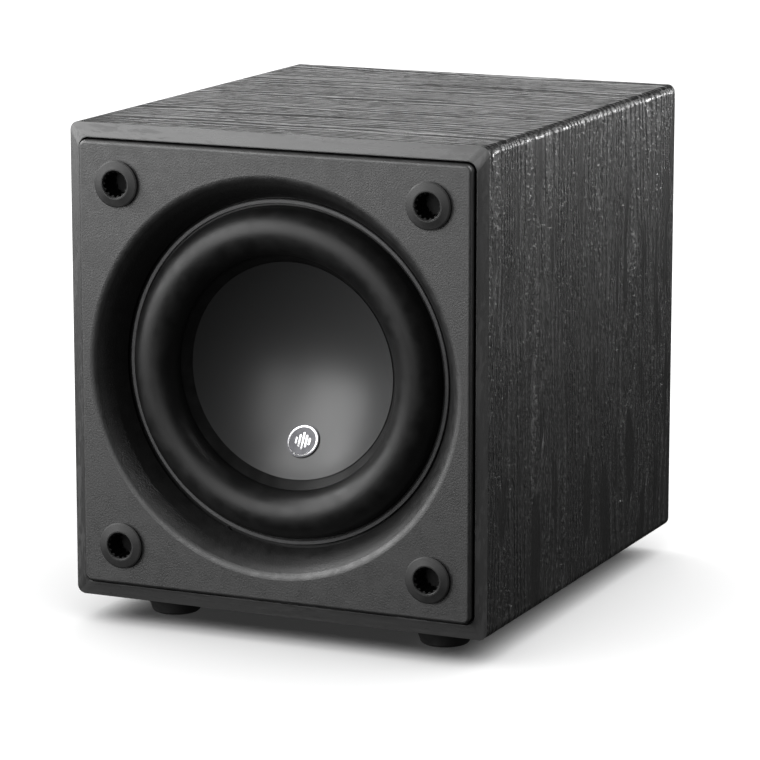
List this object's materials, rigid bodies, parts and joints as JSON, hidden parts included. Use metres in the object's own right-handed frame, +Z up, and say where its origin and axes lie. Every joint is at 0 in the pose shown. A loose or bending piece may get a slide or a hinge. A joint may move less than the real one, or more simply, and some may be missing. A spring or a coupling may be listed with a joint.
{
  "type": "subwoofer",
  "caption": "Compact sealed powered subwoofer: veneered box on rubber feet, recessed long-throw driver in a waveguide baffle, plate amplifier with controls at the back.",
  "frame": {"origin": "on the floor under the centre of the whole box", "axes": "+Z up, the driver faces -Y, +X to the right seen from the front"},
  "size_m": [0.312, 0.3798, 0.3536],
  "materials": {
    "ash_veneer": "satin black stain over open-grained ash veneer",
    "painted_board": "matte black paint over fibreboard",
    "raw_board": "bare fibreboard",
    "baffle_finish": "fine pebbled satin black",
    "rubber": "smooth matte rubber",
    "surround_rubber": "satin butyl rubber",
    "foam_seal": "closed-cell foam",
    "trim_ring": "satin dark grey",
    "cone": "satin black",
    "badge": "dark anodised with a bright edge",
    "former": "amber polyimide film",
    "copper": "enamelled copper",
    "spider_cloth": "resin-dipped woven cloth",
    "cast_frame": "black powder coat",
    "board_plastic": "moulded",
    "motor_steel": "black phosphated steel",
    "ferrite": "ground ferrite",
    "black_screw": "black oxide",
    "zinc_screw": "zinc plated",
    "amp_plate": "fine textured powder coat",
    "heat_sink": "black anodised extrusion",
    "circuit_board": "green solder mask",
    "winding_tape": "yellow winding tape",
    "capacitor_can": "sleeved can",
    "plated_steel": "nickel plated",
    "shaft": "turned",
    "control_plastic": "moulded satin black",
    "jack_metal": "nickel plated",
    "jack_insulator": "white moulding",
    "lamp": "translucent green",
    "lead_jacket": "soft jacket",
    "wadding": "polyester wadding"
  },
  "bodies": {
    "cabinet": {"amp_plate": "amp_plate", "amp_screws": "black_screw", "amp_seal": "foam_seal", "back_plate": "motor_steel", "baffle_screws": "black_screw", "board_posts": "shaft", "bottom_panel": "ash_veneer", "capacitors": "capacitor_can", "circuit_board": "circuit_board", "damping_pads": "wadding", "driver_frame": "cast_frame", "driver_screws": "black_screw", "driver_seal": "foam_seal", "foot_front_left": "rubber", "foot_front_right": "rubber", "foot_rear_left": "rubber", "foot_rear_right": "rubber", "foot_screws": "zinc_screw", "front_baffle": "baffle_finish", "grille_socket_lower_left": "rubber", "grille_socket_lower_right": "rubber", "grille_socket_upper_left": "rubber", "grille_socket_upper_right": "rubber", "heat_sink": "heat_sink", "inlet_pins": "plated_steel", "left_side_panel": "ash_veneer", "magnet": "ferrite", "mains_inlet": "control_plastic", "motor_screws": "zinc_screw", "potentiometers": "plated_steel", "rca_insulators": "jack_insulator", "rca_jacks": "jack_metal", "rear_panel": "painted_board", "right_side_panel": "ash_veneer", "rocker_housing": "control_plastic", "speaker_leads": "lead_jacket", "spider": "spider_cloth", "status_led": "lamp", "sub_baffle": "raw_board", "surround": "surround_rubber", "switch_bodies": "plated_steel", "terminal_block": "board_plastic", "tinsel_leads": "copper", "top_panel": "ash_veneer", "top_plate": "motor_steel", "transformer": "winding_tape", "trim_ring": "trim_ring", "window_brace": "raw_board"},
    "cone_assembly": {"cone": "cone", "cone_badge": "badge", "coil_former": "former", "voice_coil": "copper"},
    "level_control": {"level_knob": "control_plastic", "level_shaft": "shaft"},
    "lowpass_control": {"lowpass_knob": "control_plastic", "lowpass_shaft": "shaft"},
    "filter_slider": {"filter_switch": "control_plastic"},
    "polarity_slider": {"polarity_switch": "control_plastic"},
    "power_mode_slider": {"power_mode_switch": "control_plastic"},
    "rocker": {"power_rocker": "control_plastic"}
  },
  "joints": [
    {"name": "cone_travel", "type": "slide", "parent": "cabinet", "child": "cone_assembly", "axis": [0, -1, 0], "range_m": [-0.012, 0.012], "stiffness_N_per_m": 4500, "deforming": ["surround", "spider", "tinsel_leads"]},
    {"name": "level_turn", "type": "hinge", "parent": "cabinet", "child": "level_control", "pos_m": [0.055, 0.18165, 0.2713], "axis": [0, 1, 0], "range_deg": [-150, 150]},
    {"name": "lowpass_turn", "type": "hinge", "parent": "cabinet", "child": "lowpass_control", "pos_m": [0.005, 0.18165, 0.2713], "axis": [0, 1, 0], "range_deg": [-150, 150]},
    {"name": "filter_slide", "type": "slide", "parent": "cabinet", "child": "filter_slider", "axis": [1, 0, 0], "range_m": [0, 0.004]},
    {"name": "polarity_slide", "type": "slide", "parent": "cabinet", "child": "polarity_slider", "axis": [1, 0, 0], "range_m": [0, 0.004]},
    {"name": "power_mode_slide", "type": "slide", "parent": "cabinet", "child": "power_mode_slider", "axis": [1, 0, 0], "range_m": [-0.002, 0.002]},
    {"name": "rocker_tilt", "type": "hinge", "parent": "cabinet", "child": "rocker", "pos_m": [-0.02, 0.17365, 0.0983], "axis": [1, 0, 0], "range_deg": [0, 24]}
  ]
}
